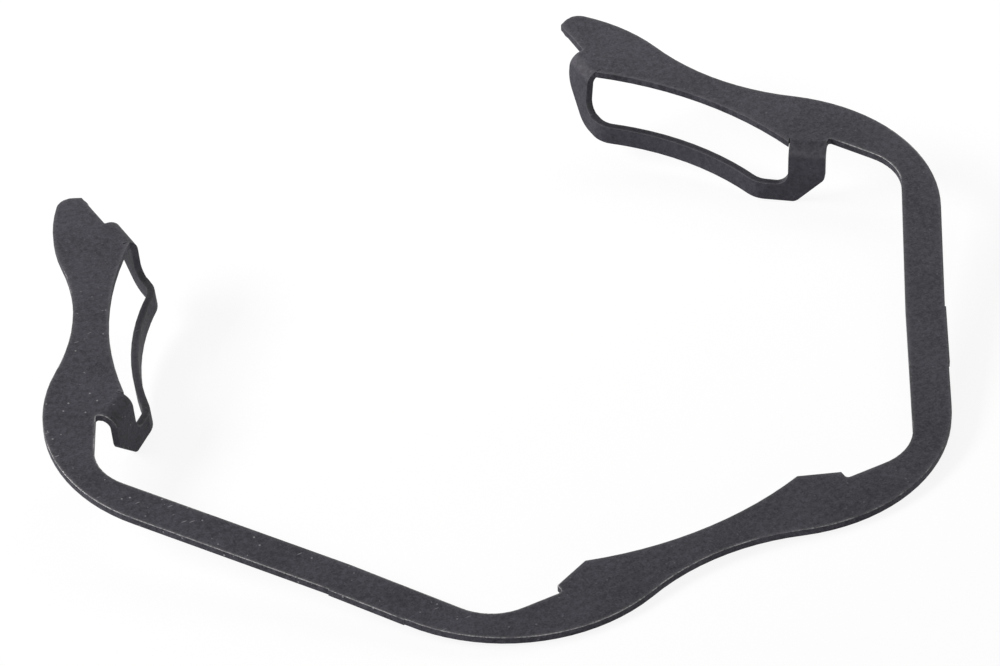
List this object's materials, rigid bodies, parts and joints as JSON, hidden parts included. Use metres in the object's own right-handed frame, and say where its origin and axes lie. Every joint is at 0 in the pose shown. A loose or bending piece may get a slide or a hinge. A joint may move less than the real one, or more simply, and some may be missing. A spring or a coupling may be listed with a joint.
{
  "type": "bearing retaining ring",
  "caption": "Open retaining ring stamped from spring steel strip, with saddles that hug a bearing, straight bars between them and waved spring loops folded down at the open ends.",
  "frame": {"origin": "centre of the bearing, level with the upper face of the plate", "axes": "+Z along the bearing axis, away from the spring loops; +Y towards the open gap; +X along the longest side"},
  "size_m": [0.1018, 0.0861, 0.007],
  "materials": {
    "black_steel": "black phosphate, satin"
  },
  "bodies": {
    "root": {"retaining_ring": "black_steel"}
  },
  "joints": []
}
